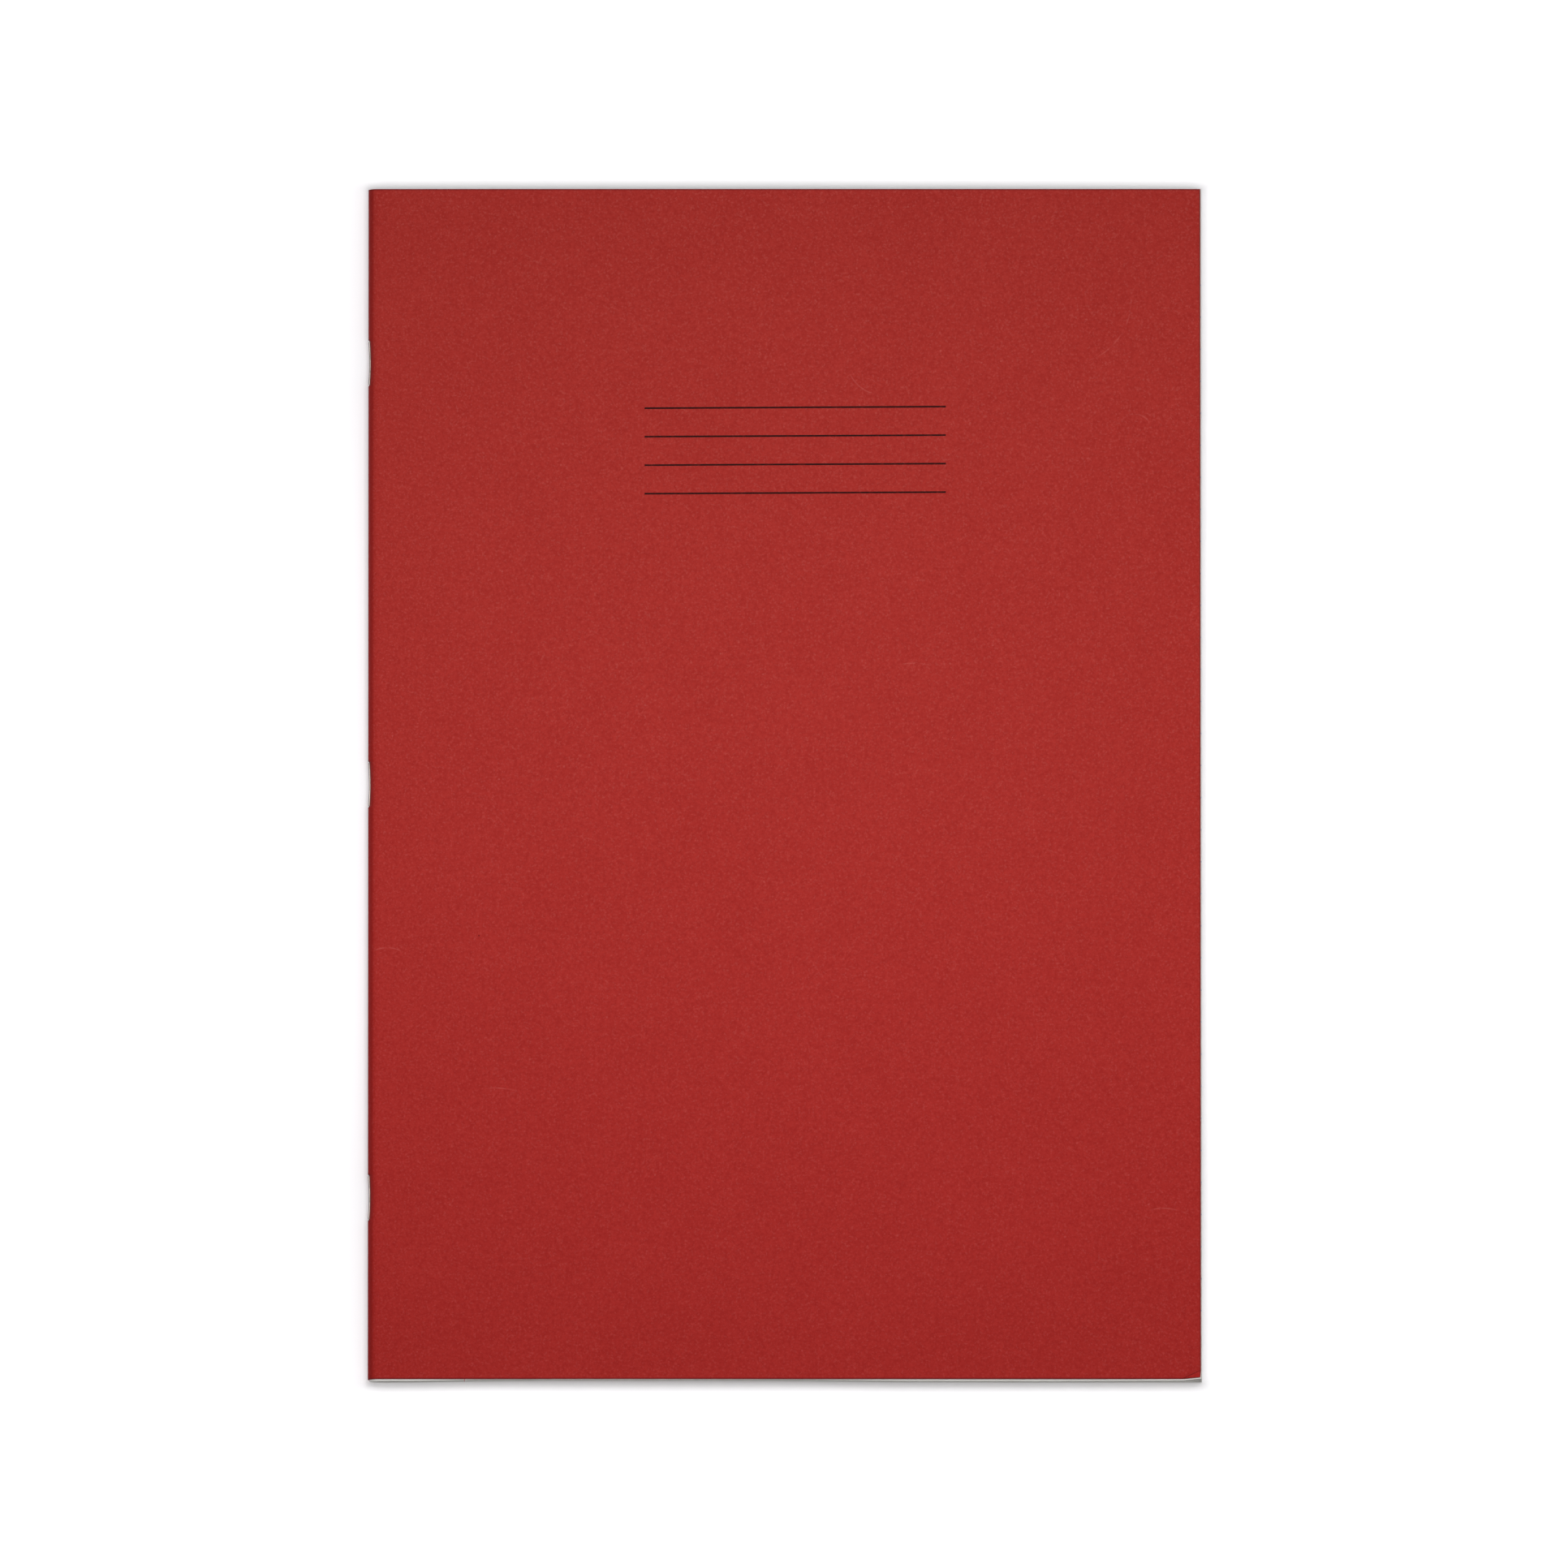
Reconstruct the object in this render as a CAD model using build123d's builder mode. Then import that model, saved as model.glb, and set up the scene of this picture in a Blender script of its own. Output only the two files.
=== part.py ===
"""A stapled exercise book: one folded card cover, nested folded sheets and three wire staples.

The book lies closed on its back cover. X runs from the spine to the fore edge, Y from the tail to the head
and Z from the back cover to the front cover. The origin is in the middle of the underside. Sizes are in
millimetres. Every folded layer is made as two halves that meet on the crease plane, halfway up the spine,
because the fold is where the book opens.
"""

import os

from build123d import *

# Driving dimensions
PAGE_HEIGHT = 297.0
PAGE_WIDTH = 206.5
SHEET_COUNT = 16
PAPER_THICKNESS = 0.10
COVER_THICKNESS = 0.30
LAYER_GAP = 0.015
WIRE_DIAMETER = 0.50
WIRE_CLEARANCE = 0.05
WIRE_BEND = 0.30
HEAD_STAPLE_MARGIN = 43.3
TAIL_STAPLE_MARGIN = 45.4
CROWN_LENGTH = 11.2
CROWN_BOW = 0.35
CLINCH_LENGTH = 4.2

# The wire lies in the innermost fold, and each layer outside it adds its thickness and a little air
wire_radius = WIRE_DIAMETER / 2
wire_room = wire_radius + WIRE_CLEARANCE
layer_pitch = PAPER_THICKNESS + LAYER_GAP
cover_inner_radius = wire_room + SHEET_COUNT * layer_pitch
spine_radius = cover_inner_radius + COVER_THICKNESS

# Places in the book's frame
spine_face = -PAGE_WIDTH / 2
fore_edge = PAGE_WIDTH / 2
fold_centre = spine_face + spine_radius
crease_height = spine_radius
crown_line = spine_face + wire_radius
leg_offset = CROWN_LENGTH / 2 - wire_radius

# Where each staple's middle lies along the spine
STAPLES = {
    "head": PAGE_HEIGHT / 2 - HEAD_STAPLE_MARGIN,
    "middle": 0.0,
    "tail": TAIL_STAPLE_MARGIN - PAGE_HEIGHT / 2,
}

os.makedirs("parts", exist_ok=True)


def save(part, name):
    """Label a finished piece and write it to its own file."""
    part.label = name
    export_step(part, f"parts/{name}.step")


# Staples: a crown pressed into the spine, two legs through the fold and two clinched ends inside it
for place, centre in STAPLES.items():
    with BuildPart() as staple:
        with BuildLine(Plane.XY.offset(crease_height)) as wire:
            Polyline(
                (fold_centre, centre + leg_offset - CLINCH_LENGTH),
                (fold_centre, centre + leg_offset),
                (crown_line, centre + leg_offset),
                (crown_line + CROWN_BOW, centre),
                (crown_line, centre - leg_offset),
                (fold_centre, centre - leg_offset),
                (fold_centre, centre - leg_offset + CLINCH_LENGTH),
            )
            chamfer(wire.vertices(), WIRE_BEND)
        with BuildSketch(Plane(wire.wire() @ 0, z_dir=wire.wire() % 0)):
            Circle(wire_radius)
        sweep(path=wire.wire(), transition=Transition.RIGHT)
    save(staple.part, f"staple_{place}")

# Room for the staples: a slit for each leg on the crease plane, and a bed where a crown pulls the fold in
with BuildPart() as staple_room:
    with BuildSketch(Plane.YZ.offset(spine_face)):
        with Locations(
            *[
                (centre + side * leg_offset, crease_height)
                for centre in STAPLES.values()
                for side in (-1, 1)
            ]
        ):
            Rectangle(2 * wire_room, 2 * wire_room)
    extrude(amount=spine_radius)
    with BuildSketch(Plane.XY.offset(crease_height)):
        for centre in STAPLES.values():
            with BuildLine():
                Polyline(
                    (spine_face - wire_room, centre + leg_offset + wire_room),
                    (crown_line + wire_room, centre + leg_offset + wire_room),
                    (crown_line + CROWN_BOW + wire_room, centre),
                    (crown_line + wire_room, centre - leg_offset - wire_room),
                    (spine_face - wire_room, centre - leg_offset - wire_room),
                    close=True,
                )
            make_face()
    extrude(amount=wire_room, both=True)


def folded_half(inner_radius, thickness, side):
    """Half of a folded layer: a flat leaf and a quarter-round bend that ends on the crease plane.

    side is 1 for the front half, above the crease plane, and -1 for the back half, below it.
    """
    outer_radius = inner_radius + thickness
    centre = (fold_centre, crease_height)
    with BuildPart() as half:
        with BuildSketch(Plane.XZ):
            with BuildLine():
                outside = CenterArc(centre, outer_radius, 180, -90 * side)
                outer_face = Line(outside @ 1, (fore_edge, crease_height + side * outer_radius))
                trimmed_edge = Line(outer_face @ 1, (fore_edge, crease_height + side * inner_radius))
                inner_face = Line(trimmed_edge @ 1, (fold_centre, crease_height + side * inner_radius))
                inside = CenterArc(centre, inner_radius, 180 - 90 * side, 90 * side)
                Line(inside @ 1, outside @ 0)
            make_face()
        extrude(amount=PAGE_HEIGHT / 2, both=True)
        add(staple_room.part, mode=Mode.SUBTRACT)
    return half.part


# Cover: one folded card round the whole block
save(folded_half(cover_inner_radius, COVER_THICKNESS, 1), "front_cover")
save(folded_half(cover_inner_radius, COVER_THICKNESS, -1), "back_cover")

# Sheets: number 1 lies against the cover, the last one holds the clinched wires
for number in range(1, SHEET_COUNT + 1):
    sheet_radius = wire_room + (SHEET_COUNT - number) * layer_pitch
    save(folded_half(sheet_radius, PAPER_THICKNESS, 1), f"sheet_{number:02d}_front_leaf")
    save(folded_half(sheet_radius, PAPER_THICKNESS, -1), f"sheet_{number:02d}_back_leaf")
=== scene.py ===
"""A stapled exercise book: ruled sheets, gathered in a folded card cover and wired through the fold.

Lengths are in metres. X runs from the spine to the fore edge, Y from the tail to the head and Z upwards.
"""

import math
import random

import bpy
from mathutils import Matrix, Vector


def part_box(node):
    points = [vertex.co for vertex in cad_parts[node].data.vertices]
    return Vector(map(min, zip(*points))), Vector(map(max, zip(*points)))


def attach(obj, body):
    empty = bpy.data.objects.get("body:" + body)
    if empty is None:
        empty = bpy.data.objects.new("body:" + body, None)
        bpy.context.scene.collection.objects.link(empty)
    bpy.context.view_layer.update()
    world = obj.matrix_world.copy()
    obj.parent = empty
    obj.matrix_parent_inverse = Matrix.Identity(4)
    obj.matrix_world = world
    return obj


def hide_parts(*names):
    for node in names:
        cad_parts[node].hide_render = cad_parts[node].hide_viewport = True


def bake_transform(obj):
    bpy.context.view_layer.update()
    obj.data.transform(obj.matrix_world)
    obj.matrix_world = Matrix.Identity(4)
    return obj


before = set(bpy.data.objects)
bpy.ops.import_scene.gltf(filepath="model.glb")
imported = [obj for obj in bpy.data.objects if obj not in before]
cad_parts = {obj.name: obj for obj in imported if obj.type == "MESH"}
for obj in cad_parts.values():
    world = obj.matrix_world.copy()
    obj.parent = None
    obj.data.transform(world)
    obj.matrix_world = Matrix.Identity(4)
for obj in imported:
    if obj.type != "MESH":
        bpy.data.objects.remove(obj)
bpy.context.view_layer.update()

# The leaves: sixteen sheets of white writing paper, ruled in blue with a red margin, folded once and nested.
# Each is a front and a back leaf with a bend between them, tighter in an inner sheet. A little wavy, the
# leaves fill the block, and at the tail they show below the cover beside the spine and in its outer part.
MM = 0.001
PAPER_THICKNESS = 0.10 * MM
PAPER_WHITE = (0.83, 0.82, 0.785, 1)
PAPER_SHADE = (0.79, 0.775, 0.73, 1)
PAPER_RELIEF = 0.01 * MM
FEINT_BLUE = (0.36, 0.50, 0.66, 1)
MARGIN_RED = (0.66, 0.20, 0.22, 1)
RULE_STRENGTH = 0.75
RULE_PITCH = 8 * MM
RULE_HEAD_SPACE = 24 * MM
RULE_TAIL_SPACE = 10 * MM
MARGIN_DISTANCE = 24 * MM
SETTLE_LENGTH = 32 * MM
TRIM_SEED = 16
TRIM_SPREAD = 0.06 * MM
PAGE_CREEP = 0.14 * MM
PAGE_WAVE = 0.022 * MM

# The distances from a rule's middle within which it is full, and at which it has faded out
RULE_HALF_WIDTH = (0.098 * MM, 0.182 * MM)

# How far the leaves' lower edges have slipped, and the shares of the page's width at which the slip begins
# and is full
TAIL_SLIP = 0.44 * MM
OUTER_SLIP = (0.42, 0.72)
SPINE_SLIP = (0.22, 0.03)

# The strip past a crease: the small step that keeps its faces apart, its width on the flat sheet, and how
# close two points lie to be merged
STRIP_STEP = 0.005 * MM
STRIP_WIDTH = 4 * STRIP_STEP
MERGE_DISTANCE = STRIP_STEP / 10

cover_low, cover_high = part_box("front_cover")
spine_x, tail_y, crease_z = cover_low
fore_x, head_y, cover_top_z = cover_high
spine_radius = cover_top_z - crease_z
fold_x = spine_x + spine_radius
staples = [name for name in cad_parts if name.startswith("staple_")]
staple_places = [sum(corner.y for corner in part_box(name)) / 2 for name in staples]
staple_low, staple_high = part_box(staples[0])
crown_half = (staple_high.y - staple_low.y) / 2
wire_radius = (staple_high.z - staple_low.z) / 2
sheet_count = sum(name.endswith("_front_leaf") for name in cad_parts)
block_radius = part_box("sheet_01_front_leaf")[1].z - crease_z

# The bed of a crown in the fold, and the shares of its half length at which the flat sheet has rows for it
CROWN_BOW = 0.22 * MM
CROWN_ROWS = (0.0, 0.22, 0.44, 0.62, 0.78, 0.87, 0.92, 0.945, 0.97, 1.0)
BED_RAMP = 0.15 * MM
BED_LIP = 0.22 * MM
BED_LIP_START = 1.2 * wire_radius
BED_LIP_RISE = 0.35 * MM

# The corner that was turned up: its lengths along the tail and the fore edge, and the angle that it has kept
DOG_EAR_TAIL = 4.6 * MM
DOG_EAR_FORE = 2.2 * MM
DOG_EAR_STEPS = 6
DOG_EAR_ANGLE = math.radians(36)
dog_ear_crease = Vector((DOG_EAR_TAIL, DOG_EAR_FORE)).normalized()
to_corner = Vector((dog_ear_crease.y, -dog_ear_crease.x))

# A flat sheet's steps from tail to head, how closely its columns crowd to the start of the bend and of the
# leaf, and the angle past which an edge is drawn sharp
PAGE_ROWS = 14
COLUMN_CROWDING = 1.5
SHARP_ANGLE = math.radians(20)


def place(tree, kind, inputs=None, **options):
    """Add a node to a tree, set its options and feed its inputs from other sockets or from plain values."""
    node = tree.nodes.new(kind)
    for option, value in options.items():
        setattr(node, option, value)
    for name, source in (inputs or {}).items():
        if isinstance(source, bpy.types.NodeSocket):
            tree.links.new(source, node.inputs[name])
        else:
            node.inputs[name].default_value = source
    return node


def calc(tree, operation, *terms):
    """One step of arithmetic in a node tree."""
    return place(tree, "ShaderNodeMath", dict(enumerate(terms)), operation=operation).outputs[0]


def ramp(tree, value, low, high, start=0.0, end=1.0):
    """A smooth change from start to end while a value goes from low to high."""
    node = place(
        tree,
        "ShaderNodeMapRange",
        {"Value": value, "From Min": low, "From Max": high, "To Min": start, "To Max": end},
        interpolation_type="SMOOTHSTEP",
    )
    return node.outputs["Result"]


def near(tree, distance, full, reach):
    """A mask that is 1 within the full distance and has faded to 0 at the reach."""
    return ramp(tree, distance, full, reach, start=1, end=0)


def away_from(tree, value, middle):
    """How far a value lies from a middle, on either side."""
    return calc(tree, "ABSOLUTE", calc(tree, "SUBTRACT", value, middle))


def split(tree, vector):
    """The X, Y and Z of a vector."""
    return place(tree, "ShaderNodeSeparateXYZ", {0: vector}).outputs


def tree_inputs(tree, sockets):
    """Declare a tree's named inputs and return the sockets that give them out."""
    for name, kind in sockets.items():
        tree.interface.new_socket(name=name, in_out="INPUT", socket_type=f"NodeSocket{kind}")
    return tree.nodes.new("NodeGroupInput").outputs


def beside_staple(tree, height):
    """How far along the spine a point lies from the middle of the nearest staple."""
    beside = None
    for centre in staple_places:
        distance = away_from(tree, height, centre)
        beside = distance if beside is None else calc(tree, "MINIMUM", beside, distance)
    return beside


def past_dog_ear_crease(tree, page):
    """How far a point of the page lies past the crease of the turned corner."""
    ear_x = calc(tree, "SUBTRACT", page["X"], fore_x - DOG_EAR_TAIL)
    ear_y = calc(tree, "SUBTRACT", page["Y"], tail_y)
    past_x = calc(tree, "MULTIPLY", ear_x, to_corner.x)
    return calc(tree, "ADD", past_x, calc(tree, "MULTIPLY", ear_y, to_corner.y))


def folding_tree():
    """The rule that folds a flat cut sheet: X is the distance from the crease, Y the height on the page.

    The points at and past the crease make a narrow strip.
    """
    tree = bpy.data.node_groups.new("folded_half", "GeometryNodeTree")
    given = tree_inputs(
        tree,
        {
            "Flat Sheet": "Geometry",
            "Fold Radius": "Float",
            "Thickness": "Float",
            "Side": "Float",
            "Fore Edge Height": "Float",
            "Crease Gap": "Float",
            "Wave": "Float",
            "Corner Angle": "Float",
            "Outer Material": "Material",
            "Inner Material": "Material",
            "Edge Material": "Material",
        },
    )
    tree.interface.new_socket(name="Folded Half", in_out="OUTPUT", socket_type="NodeSocketGeometry")

    position = tree.nodes.new("GeometryNodeInputPosition").outputs[0]
    flat = split(tree, position)
    along = flat["X"]
    radius = given["Fold Radius"]
    inner_radius = calc(tree, "SUBTRACT", radius, given["Thickness"])
    quarter = calc(tree, "MULTIPLY", radius, math.pi / 2)
    turned = calc(tree, "MAXIMUM", calc(tree, "DIVIDE", along, radius), 0)
    turned = calc(tree, "MINIMUM", turned, math.pi / 2)
    run = calc(tree, "MAXIMUM", calc(tree, "SUBTRACT", along, quarter), 0)
    drop_to_edge = calc(tree, "SUBTRACT", given["Fore Edge Height"], radius)
    settled = ramp(tree, run, 0, SETTLE_LENGTH, end=drop_to_edge)
    filled = calc(tree, "SUBTRACT", settled, ramp(tree, run, 0, SETTLE_LENGTH, end=given["Wave"]))
    at_crease = calc(tree, "LESS_THAN", along, STRIP_STEP)
    past_crease = calc(tree, "LESS_THAN", along, -STRIP_STEP)

    def surface(layer_radius, leaf_lift, crease_step, strip_step):
        """Where a point of the flat sheet lies on the folded sheet's outer or inner face."""
        lift = calc(tree, "MULTIPLY", layer_radius, calc(tree, "SINE", turned))
        lift = calc(tree, "ADD", lift, leaf_lift)
        gap = calc(tree, "ADD", given["Crease Gap"], crease_step)
        lift = calc(tree, "ADD", lift, calc(tree, "MULTIPLY", at_crease, gap))
        lift = calc(tree, "SUBTRACT", lift, calc(tree, "MULTIPLY", past_crease, crease_step + strip_step))
        back = calc(tree, "MULTIPLY", layer_radius, calc(tree, "COSINE", turned))
        x = calc(tree, "ADD", calc(tree, "SUBTRACT", fold_x, back), run)
        z = calc(tree, "MULTIPLY_ADD", lift, given["Side"], crease_z)
        return place(tree, "ShaderNodeCombineXYZ", {"X": x, "Y": flat["Y"], "Z": z}).outputs[0]

    outer_place = surface(radius, settled, crease_step=2 * STRIP_STEP, strip_step=3 * STRIP_STEP)
    inner_place = surface(inner_radius, filled, crease_step=0, strip_step=STRIP_STEP)

    # The outer face, a copy of it that is pushed through to the inner face, and the walls between the two
    outside = place(
        tree, "GeometryNodeSetPosition", {"Geometry": given["Flat Sheet"], "Position": outer_place}
    ).outputs[0]
    marked = place(
        tree,
        "GeometryNodeStoreNamedAttribute",
        {"Geometry": given["Flat Sheet"], "Name": "inner_place", "Value": inner_place},
        data_type="FLOAT_VECTOR",
        domain="POINT",
    ).outputs[0]
    outer_again = place(
        tree, "GeometryNodeSetPosition", {"Geometry": marked, "Position": outer_place}
    ).outputs[0]
    walls = place(
        tree, "GeometryNodeExtrudeMesh", {"Mesh": outer_again, "Offset Scale": 0.0, "Individual": False}
    ).outputs
    kept_place = place(
        tree, "GeometryNodeInputNamedAttribute", {"Name": "inner_place"}, data_type="FLOAT_VECTOR"
    ).outputs["Attribute"]
    inside = place(
        tree,
        "GeometryNodeSetPosition",
        {"Geometry": walls["Mesh"], "Selection": walls["Top"], "Position": kept_place},
    ).outputs[0]
    turned_walls = place(tree, "GeometryNodeFlipFaces", {0: inside}).outputs[0]
    joined = tree.nodes.new("GeometryNodeJoinGeometry")
    tree.links.new(turned_walls, joined.inputs[0])
    tree.links.new(outside, joined.inputs[0])
    closed = place(
        tree, "GeometryNodeMergeByDistance", {"Geometry": joined.outputs[0], "Distance": MERGE_DISTANCE}
    ).outputs[0]
    is_back = calc(tree, "LESS_THAN", given["Side"], 0)
    outward = place(tree, "GeometryNodeFlipFaces", {"Mesh": closed, "Selection": is_back}).outputs[0]

    # Each crown pulls the fold in behind it, the outer layers more than the inner ones, and the layers
    # swell out again a little above and below the wire
    now = split(tree, position)
    beside = beside_staple(tree, now["Y"])
    held = near(tree, beside, crown_half - BED_RAMP, crown_half + BED_RAMP)
    share = calc(tree, "POWER", calc(tree, "DIVIDE", beside, crown_half), 2)
    bow = calc(tree, "MULTIPLY", calc(tree, "SUBTRACT", 1, share), CROWN_BOW)
    bow = calc(tree, "MAXIMUM", bow, 0)
    off_crease = away_from(tree, now["Z"], crease_z)
    lip = ramp(tree, off_crease, BED_LIP_START, BED_LIP_START + BED_LIP_RISE, end=BED_LIP)
    bed = calc(tree, "SUBTRACT", calc(tree, "ADD", bow, 2 * wire_radius), lip)
    bed = calc(tree, "MULTIPLY", bed, held)
    depth = calc(tree, "DIVIDE", calc(tree, "SUBTRACT", now["X"], spine_x), block_radius)
    pull = calc(tree, "MULTIPLY", bed, calc(tree, "MAXIMUM", calc(tree, "SUBTRACT", 1, depth), 0))

    # The corner at the tail and the fore edge was once turned up and has kept a bend
    beyond = calc(tree, "MAXIMUM", past_dog_ear_crease(tree, now), 0)
    shortening = calc(tree, "SUBTRACT", 1, calc(tree, "COSINE", given["Corner Angle"]))
    shorter = calc(tree, "MULTIPLY", beyond, shortening)
    move = place(
        tree,
        "ShaderNodeCombineXYZ",
        {
            "X": calc(tree, "SUBTRACT", pull, calc(tree, "MULTIPLY", shorter, to_corner.x)),
            "Y": calc(tree, "MULTIPLY", shorter, -to_corner.y),
            "Z": calc(tree, "MULTIPLY", beyond, calc(tree, "SINE", given["Corner Angle"])),
        },
    ).outputs[0]
    shaped = place(tree, "GeometryNodeSetPosition", {"Geometry": outward, "Offset": move}).outputs[0]

    smooth = place(
        tree, "GeometryNodeSetShadeSmooth", {"Geometry": shaped, "Shade Smooth": True}, domain="FACE"
    ).outputs[0]
    edge_angle = tree.nodes.new("GeometryNodeInputMeshEdgeAngle").outputs["Unsigned Angle"]
    is_sharp = calc(tree, "GREATER_THAN", edge_angle, SHARP_ANGLE)
    sharp = place(
        tree,
        "GeometryNodeSetShadeSmooth",
        {"Geometry": smooth, "Selection": is_sharp, "Shade Smooth": False},
        domain="EDGE",
    ).outputs[0]
    at_rest = place(
        tree,
        "GeometryNodeStoreNamedAttribute",
        {"Geometry": sharp, "Name": "at_rest", "Value": position},
        data_type="FLOAT_VECTOR",
        domain="POINT",
    ).outputs[0]
    clean = place(
        tree, "GeometryNodeRemoveAttribute", {"Geometry": at_rest, "Name": "inner_place"}
    ).outputs[0]
    finished = place(tree, "GeometryNodeRealizeInstances", {"Geometry": clean}).outputs[0]
    faces = {"Outer": True, "Inner": walls["Top"], "Edge": walls["Side"]}
    for face, selection in faces.items():
        finished = place(
            tree,
            "GeometryNodeSetMaterial",
            {"Geometry": finished, "Selection": selection, "Material": given[f"{face} Material"]},
        ).outputs[0]
    place(tree, "NodeGroupOutput", {0: finished})
    return tree


def plain_mesh(obj, tree, settings):
    """Run a node tree on an object with its named inputs set, and keep what it makes as a plain mesh."""
    modifier = obj.modifiers.new(tree.name, "NODES")
    modifier.node_group = tree
    for socket in tree.interface.items_tree:
        if socket.in_out == "INPUT" and socket.name in settings:
            modifier[socket.identifier] = settings[socket.name]
    depsgraph = bpy.context.evaluated_depsgraph_get()
    mesh = bpy.data.meshes.new_from_object(obj.evaluated_get(depsgraph), depsgraph=depsgraph)
    obj.modifiers.clear()
    obj.data = mesh
    mesh.name = obj.name


def new_object(name, mesh):
    """Put a mesh into the scene under a name."""
    obj = bpy.data.objects.new(name, mesh)
    bpy.context.scene.collection.objects.link(obj)
    return obj


def eased(value, begin, end):
    """How far a value has come from begin to end, from 0 to 1, slow at both ends."""
    share = min(max((value - begin) / (end - begin), 0), 1)
    return share**2 * (3 - 2 * share)


def flat_sheet(name, radius, low_y, high_y, fore_edge, strip, fold_columns, leaf_columns, slip=0.0):
    """A flat cut sheet from the crease to the fore edge, finer where it will bend, be wired or be dog-eared.

    Its lower edge can have slipped down beside the spine and in the outer part, so that it shows at the tail.
    """
    quarter = radius * math.pi / 2
    length = quarter + fore_edge - fold_x
    leaf_length = length - quarter - DOG_EAR_TAIL
    fold_shares = [(step / fold_columns) ** COLUMN_CROWDING for step in range(fold_columns)]
    leaf_shares = [(step / leaf_columns) ** COLUMN_CROWDING for step in range(leaf_columns)]
    columns = [-STRIP_WIDTH] if strip else []
    columns += [quarter * share for share in fold_shares]
    columns += [quarter + leaf_length * share for share in leaf_shares]
    columns += [length - DOG_EAR_TAIL * step / DOG_EAR_STEPS for step in reversed(range(DOG_EAR_STEPS + 1))]
    reach = crown_half + BED_RAMP
    rows = {low_y, high_y}
    rows |= {low_y + DOG_EAR_FORE * step / DOG_EAR_STEPS for step in range(1, DOG_EAR_STEPS + 1)}
    rows |= {low_y + (high_y - low_y) * step / PAGE_ROWS for step in range(1, PAGE_ROWS)}
    for centre in staple_places:
        rows = {row for row in rows if abs(row - centre) > reach}
        rows |= {centre + side * share * reach for share in CROWN_ROWS for side in (-1, 1)}
    rows = sorted(rows)
    lowest = []
    for column in columns:
        shown = max(eased(column / length, *OUTER_SLIP), eased(column / length, *SPINE_SLIP))
        lowest.append((column, rows[0] - slip * shown, 0))
    points = lowest + [(column, row, 0) for row in rows[1:] for column in columns]
    width = len(columns)
    faces = []
    for low in range(len(rows) - 1):
        for left in range(width - 1):
            first = low * width + left
            second, third, fourth = first + 1, first + width + 1, first + width
            if low < DOG_EAR_STEPS and left >= width - 1 - DOG_EAR_STEPS:
                faces += [(first, second, third), (first, third, fourth)]
            else:
                faces.append((first, second, third, fourth))
    mesh = bpy.data.meshes.new(name)
    mesh.from_pydata(points, [], faces)
    return new_object(name, mesh)


def shader_group(name, inputs, outputs):
    """A shader node group with named sockets; returns it with the sockets it is given and those it fills."""
    group = bpy.data.node_groups.new(name, "ShaderNodeTree")
    given = tree_inputs(group, inputs)
    for output, kind in outputs.items():
        group.interface.new_socket(name=output, in_out="OUTPUT", socket_type=f"NodeSocket{kind}")
    return group, given, group.nodes.new("NodeGroupOutput").inputs


def use_group(tree, group, inputs):
    """Place a shader group in a material and feed its inputs."""
    return place(tree, "ShaderNodeGroup", inputs, node_tree=group).outputs


# Places of a Mix node's sockets for colours, which share their names with its other sockets
MIX_FACTOR, MIX_FIRST, MIX_SECOND, MIX_RESULT = 0, 6, 7, 2


def mix_colour(tree, factor, first, second, blend="MIX"):
    """Change from one colour to another by a factor."""
    inputs = {MIX_FACTOR: factor, MIX_FIRST: first, MIX_SECOND: second}
    return place(tree, "ShaderNodeMix", inputs, data_type="RGBA", blend_type=blend).outputs[MIX_RESULT]


def stain(tree, colour, mask, tint, strength):
    """Lay a tint over a colour where a mask allows it, at a strength."""
    return mix_colour(tree, calc(tree, "MULTIPLY", mask, strength), colour, tint)


def noise(tree, where, scale, detail=2.0):
    """Noise over a place, with about as many swings to the metre as its scale."""
    inputs = {"Vector": where, "Scale": scale, "Detail": detail}
    return place(tree, "ShaderNodeTexNoise", inputs).outputs[0]


def new_material(name, specular, roughness=0.5):
    """A material with its shader ready for a finish."""
    material = bpy.data.materials.new(name)
    material.use_nodes = True
    shader = material.node_tree.nodes["Principled BSDF"]
    shader.inputs["Roughness"].default_value = roughness
    shader.inputs["Specular IOR Level"].default_value = specular
    return material, material.node_tree, shader


def place_at_rest(tree):
    """Where each point of a folded sheet lies in the closed book, so that its print turns with it."""
    return place(tree, "ShaderNodeAttribute", attribute_name="at_rest").outputs["Vector"]


def raise_grain(tree, shader, height, strength, distance):
    """Turn a height into the shader's surface relief."""
    bump = place(tree, "ShaderNodeBump", {"Height": height, "Strength": strength, "Distance": distance})
    tree.links.new(bump.outputs[0], shader.inputs["Normal"])


def paper_tooth_group():
    """The cloudy look and fine tooth of uncoated paper."""
    group, given, result = shader_group(
        "paper_tooth", {"Place": "Vector"}, {"Cloud": "Float", "Tooth": "Float"}
    )
    group.links.new(noise(group, given["Place"], scale=180.0, detail=4.0), result["Cloud"])
    group.links.new(noise(group, given["Place"], scale=3200.0, detail=3.0), result["Tooth"])
    return group


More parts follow.
